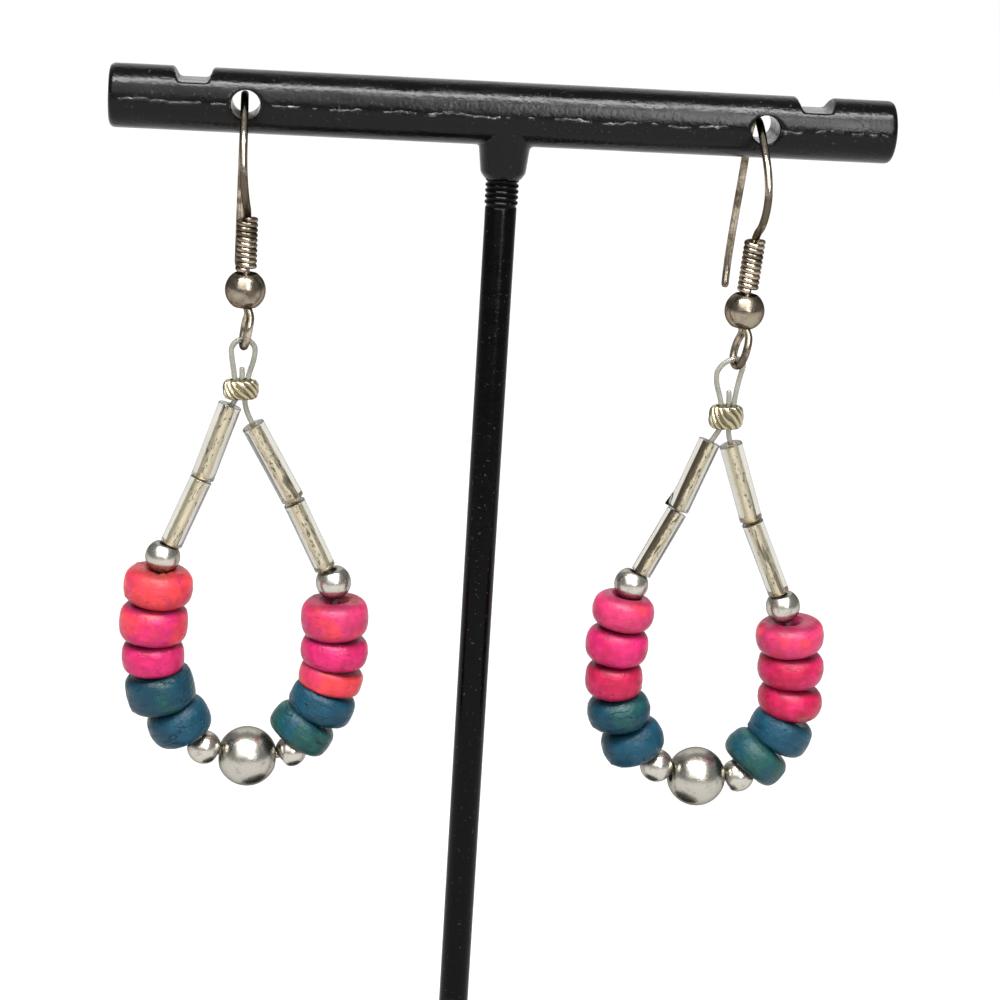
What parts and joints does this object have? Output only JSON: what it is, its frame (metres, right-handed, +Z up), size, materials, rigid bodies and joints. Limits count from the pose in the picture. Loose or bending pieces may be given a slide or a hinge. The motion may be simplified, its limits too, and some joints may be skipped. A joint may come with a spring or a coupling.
{
  "type": "beaded drop earrings on a t-bar stand",
  "caption": "Beaded drop earrings: coil and ball ear wires carry swinging teardrop loops of wooden, glass and metal beads, hung through the bar of a plain black stand.",
  "frame": {"origin": "centre of the round foot's underside, on the table, which is the middle of the bottom of the bounding box", "axes": "+Z up along the pole, +X along the bar towards the right earring, -Y towards the viewer, whom both drops face"},
  "size_m": [0.0684, 0.058, 0.1177],
  "materials": {
    "bar_black": "glossy moulded black with a faint seam",
    "stand_black": "gloss black paint",
    "wire_metal": "tarnished nickel silver",
    "ball_metal": "tarnished nickel silver, polished",
    "nylon": "clear nylon thread",
    "crimp_metal": "worn plating with dark grooves",
    "lined_glass": "clear glass with a silver lining",
    "bright_metal": "bright plating",
    "wood_coral": "stained and waxed",
    "wood_pink_coral": "stained and waxed",
    "wood_pink": "stained and waxed",
    "wood_magenta": "stained and waxed",
    "wood_red": "stained and waxed",
    "wood_teal": "stained and waxed",
    "wood_blue": "stained and waxed",
    "wood_green": "stained and waxed"
  },
  "bodies": {
    "stand": {"t_bar": "bar_black", "pole": "stand_black", "base": "stand_black", "left_ear_hook": "wire_metal", "left_hook_coil": "wire_metal", "left_hook_ball": "ball_metal", "right_ear_hook": "wire_metal", "right_hook_coil": "wire_metal", "right_hook_ball": "ball_metal"},
    "left_drop": {"left_thread": "nylon", "left_crimp": "crimp_metal", "left_bugle_1": "lined_glass", "left_bugle_2": "lined_glass", "left_bugle_3": "lined_glass", "left_bugle_4": "lined_glass", "left_silver_1": "bright_metal", "left_silver_2": "bright_metal", "left_silver_3": "bright_metal", "left_silver_4": "bright_metal", "left_wood_1": "wood_coral", "left_wood_2": "wood_pink_coral", "left_wood_3": "wood_magenta", "left_wood_4": "wood_teal", "left_wood_5": "wood_blue", "left_wood_6": "wood_green", "left_wood_7": "wood_blue", "left_wood_8": "wood_coral", "left_wood_9": "wood_magenta", "left_wood_10": "wood_pink", "left_big_silver": "bright_metal"},
    "right_drop": {"right_thread": "nylon", "right_crimp": "crimp_metal", "right_bugle_1": "lined_glass", "right_bugle_2": "lined_glass", "right_bugle_3": "lined_glass", "right_bugle_4": "lined_glass", "right_silver_1": "bright_metal", "right_silver_2": "bright_metal", "right_silver_3": "bright_metal", "right_silver_4": "bright_metal", "right_wood_1": "wood_pink", "right_wood_2": "wood_magenta", "right_wood_3": "wood_red", "right_wood_4": "wood_teal", "right_wood_5": "wood_blue", "right_wood_6": "wood_green", "right_wood_7": "wood_blue", "right_wood_8": "wood_red", "right_wood_9": "wood_red", "right_wood_10": "wood_pink", "right_big_silver": "bright_metal"}
  },
  "joints": [
    {"name": "left_drop_swing", "type": "hinge", "parent": "stand", "child": "left_drop", "pos_m": [-0.02211, -0.0032, 0.09474], "axis": [0.9877, 0.1564, 0], "range_deg": [-50, 50]},
    {"name": "right_drop_swing", "type": "hinge", "parent": "stand", "child": "right_drop", "pos_m": [0.0215, -0.0032, 0.09474], "axis": [0.9903, 0.1392, 0], "range_deg": [-50, 50]}
  ]
}
